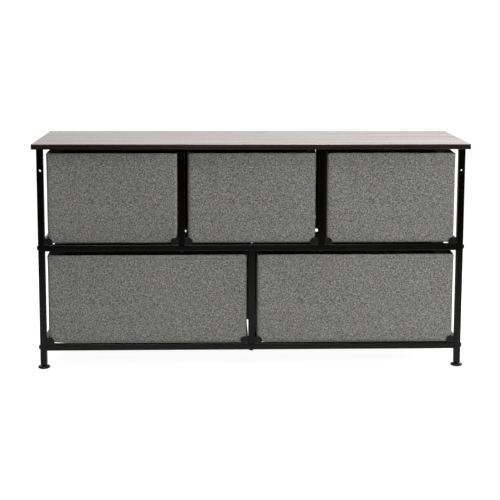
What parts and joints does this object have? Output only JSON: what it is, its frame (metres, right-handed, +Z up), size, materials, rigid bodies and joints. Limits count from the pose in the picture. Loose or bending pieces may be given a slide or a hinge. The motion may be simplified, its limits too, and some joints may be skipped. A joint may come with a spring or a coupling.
{
  "type": "fabric drawer dresser",
  "caption": "Low dresser with a board top on a slim square-tube metal frame that holds rows of open fabric drawers on moulded runners, with levelling feet.",
  "frame": {"origin": "on the floor under the centre of the top board", "axes": "+X along the dresser, +Y towards the front, the way the drawers open, +Z up; the rear side is at -Y"},
  "size_m": [1, 0.3, 0.525],
  "materials": {
    "top_board": "wood-effect foil with a low sheen",
    "frame_steel": "black powder coat, semi-gloss",
    "runner_plastic": "moulded black",
    "foot_plastic": "moulded black",
    "drawer_fabric": "grey heathered non-woven fabric",
    "base_board": "fabric-covered stiff board",
    "tab_fabric": "folded grey fabric strap"
  },
  "bodies": {
    "frame": {"top_panel": "top_board", "post_rear_left": "frame_steel", "post_rear_right": "frame_steel", "post_front_left": "frame_steel", "post_front_right": "frame_steel", "rail_rear_lower": "frame_steel", "rail_rear_middle": "frame_steel", "rail_front_lower": "frame_steel", "rail_front_middle": "frame_steel", "side_rail_lower_left": "frame_steel", "side_rail_lower_right": "frame_steel", "side_rail_middle_left": "frame_steel", "side_rail_middle_right": "frame_steel", "divider_upper_rear_left": "frame_steel", "divider_upper_rear_right": "frame_steel", "divider_lower_rear": "frame_steel", "divider_upper_front_left": "frame_steel", "divider_upper_front_right": "frame_steel", "divider_lower_front": "frame_steel", "runner_upper_left_a": "runner_plastic", "runner_upper_left_b": "runner_plastic", "runner_upper_middle_a": "runner_plastic", "runner_upper_middle_b": "runner_plastic", "runner_upper_right_a": "runner_plastic", "runner_upper_right_b": "runner_plastic", "runner_lower_left_a": "runner_plastic", "runner_lower_left_b": "runner_plastic", "runner_lower_right_a": "runner_plastic", "runner_lower_right_b": "runner_plastic", "top_plates": "frame_steel", "foot_inserts": "foot_plastic"},
    "drawer_upper_left": {"drawer_upper_left_shell": "drawer_fabric", "drawer_upper_left_base_board": "base_board", "drawer_upper_left_pull_tab": "tab_fabric"},
    "drawer_upper_middle": {"drawer_upper_middle_shell": "drawer_fabric", "drawer_upper_middle_base_board": "base_board", "drawer_upper_middle_pull_tab": "tab_fabric"},
    "drawer_upper_right": {"drawer_upper_right_shell": "drawer_fabric", "drawer_upper_right_base_board": "base_board", "drawer_upper_right_pull_tab": "tab_fabric"},
    "drawer_lower_left": {"drawer_lower_left_shell": "drawer_fabric", "drawer_lower_left_base_board": "base_board", "drawer_lower_left_pull_tab": "tab_fabric"},
    "drawer_lower_right": {"drawer_lower_right_shell": "drawer_fabric", "drawer_lower_right_base_board": "base_board", "drawer_lower_right_pull_tab": "tab_fabric"},
    "levelling_foot_rear_left": {"levelling_foot_rear_left": "foot_plastic"},
    "levelling_foot_rear_right": {"levelling_foot_rear_right": "foot_plastic"},
    "levelling_foot_front_left": {"levelling_foot_front_left": "foot_plastic"},
    "levelling_foot_front_right": {"levelling_foot_front_right": "foot_plastic"}
  },
  "joints": [
    {"name": "upper_left_drawer_slide", "type": "slide", "parent": "frame", "child": "drawer_upper_left", "axis": [0, 1, 0], "range_m": [0, 0.22]},
    {"name": "upper_middle_drawer_slide", "type": "slide", "parent": "frame", "child": "drawer_upper_middle", "axis": [0, 1, 0], "range_m": [0, 0.22]},
    {"name": "upper_right_drawer_slide", "type": "slide", "parent": "frame", "child": "drawer_upper_right", "axis": [0, 1, 0], "range_m": [0, 0.22]},
    {"name": "lower_left_drawer_slide", "type": "slide", "parent": "frame", "child": "drawer_lower_left", "axis": [0, 1, 0], "range_m": [0, 0.22]},
    {"name": "lower_right_drawer_slide", "type": "slide", "parent": "frame", "child": "drawer_lower_right", "axis": [0, 1, 0], "range_m": [0, 0.22]},
    {"name": "foot_rear_left_screw", "type": "slide", "parent": "frame", "child": "levelling_foot_rear_left", "axis": [0, 0, -1], "range_m": [0, 0.008]},
    {"name": "foot_rear_right_screw", "type": "slide", "parent": "frame", "child": "levelling_foot_rear_right", "axis": [0, 0, -1], "range_m": [0, 0.008]},
    {"name": "foot_front_left_screw", "type": "slide", "parent": "frame", "child": "levelling_foot_front_left", "axis": [0, 0, -1], "range_m": [0, 0.008]},
    {"name": "foot_front_right_screw", "type": "slide", "parent": "frame", "child": "levelling_foot_front_right", "axis": [0, 0, -1], "range_m": [0, 0.008]}
  ]
}
